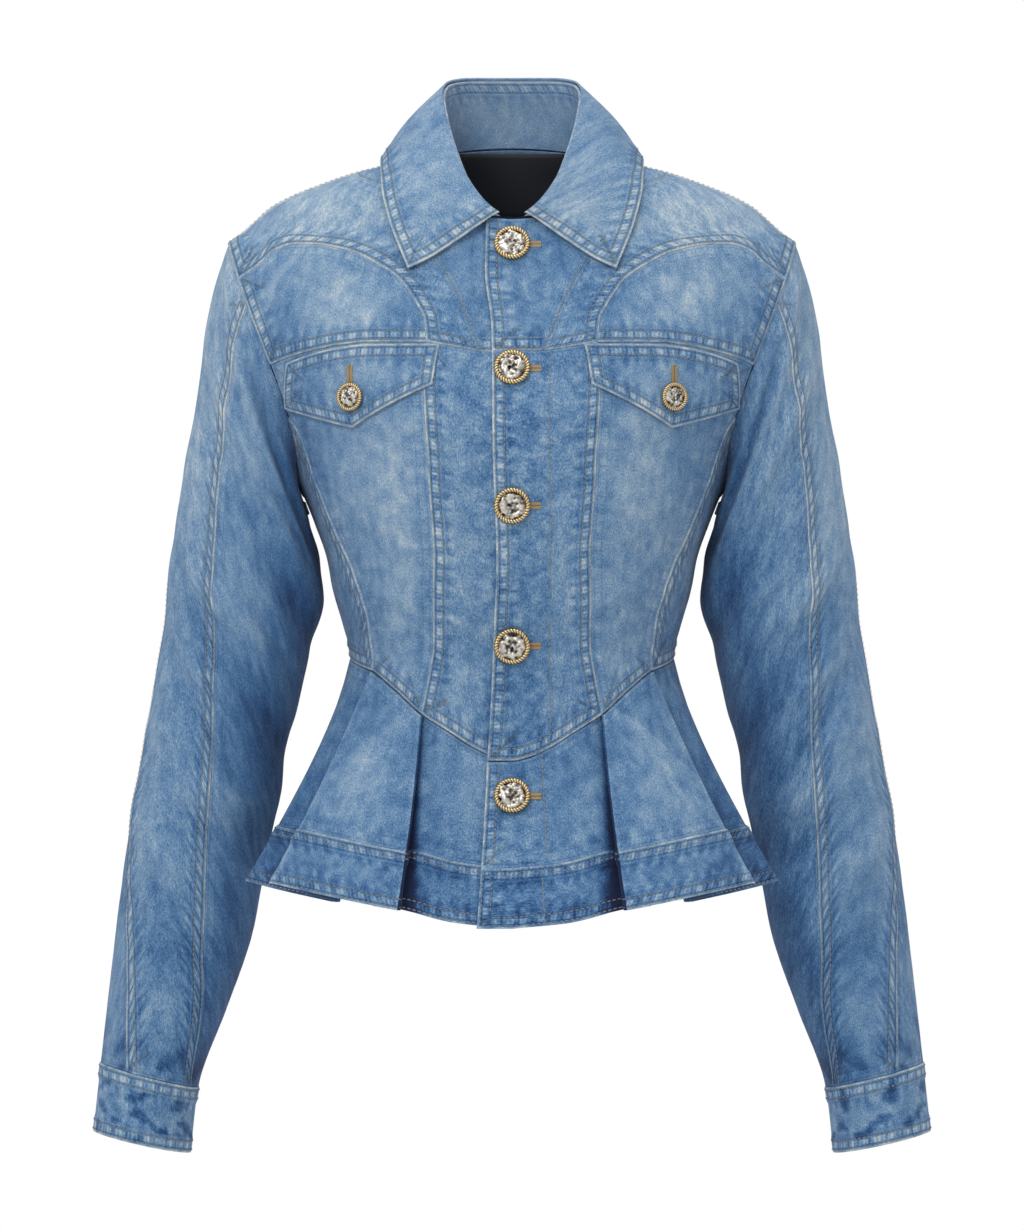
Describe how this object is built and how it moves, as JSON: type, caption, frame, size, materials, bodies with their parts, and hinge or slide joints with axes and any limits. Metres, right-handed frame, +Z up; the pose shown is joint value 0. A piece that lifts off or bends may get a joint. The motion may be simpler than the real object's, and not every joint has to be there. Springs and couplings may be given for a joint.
{
  "type": "denim jacket with peplum",
  "caption": "Fitted light blue denim jacket, filled out as worn, with a turned-down collar, flapped chest pockets, long cuffed sleeves and a pleated peplum.",
  "frame": {"origin": "middle of the neck, level with the line where the shoulders meet the collar", "axes": "+Z up, -Y out of the front, +X towards the wearer's left"},
  "size_m": [0.6006, 0.2849, 0.7739],
  "materials": {
    "denim": "washed light blue cotton twill",
    "label": "plain black woven cotton",
    "button_metal": "gold coloured rim with a silver coloured hammered dome"
  },
  "bodies": {
    "root": {"yoke_neck_r": "denim", "yoke_neck_l": "denim", "yoke_shoulder_r": "denim", "yoke_shoulder_l": "denim", "yoke_chest_r": "denim", "yoke_chest_l": "denim", "front_centre_r": "denim", "front_centre_l": "denim", "front_pocket_r": "denim", "front_pocket_l": "denim", "front_side_r": "denim", "front_side_l": "denim", "pocket_flap_r": "denim", "pocket_flap_l": "denim", "back_yoke": "denim", "back_centre": "denim", "back_side_r": "denim", "back_side_l": "denim", "peplum_front_r": "denim", "peplum_front_l": "denim", "peplum_back": "denim", "hem_band_front_r": "denim", "hem_band_front_l": "denim", "hem_band_back": "denim", "sleeve_top_r": "denim", "sleeve_top_l": "denim", "sleeve_under_r": "denim", "sleeve_under_l": "denim", "cuff_r": "denim", "cuff_l": "denim", "collar_stand": "denim", "collar_leaf": "denim", "neck_label": "label", "button_1": "button_metal", "button_2": "button_metal", "button_3": "button_metal", "button_4": "button_metal", "button_5": "button_metal", "button_pocket_r": "button_metal", "button_pocket_l": "button_metal"}
  },
  "joints": []
}
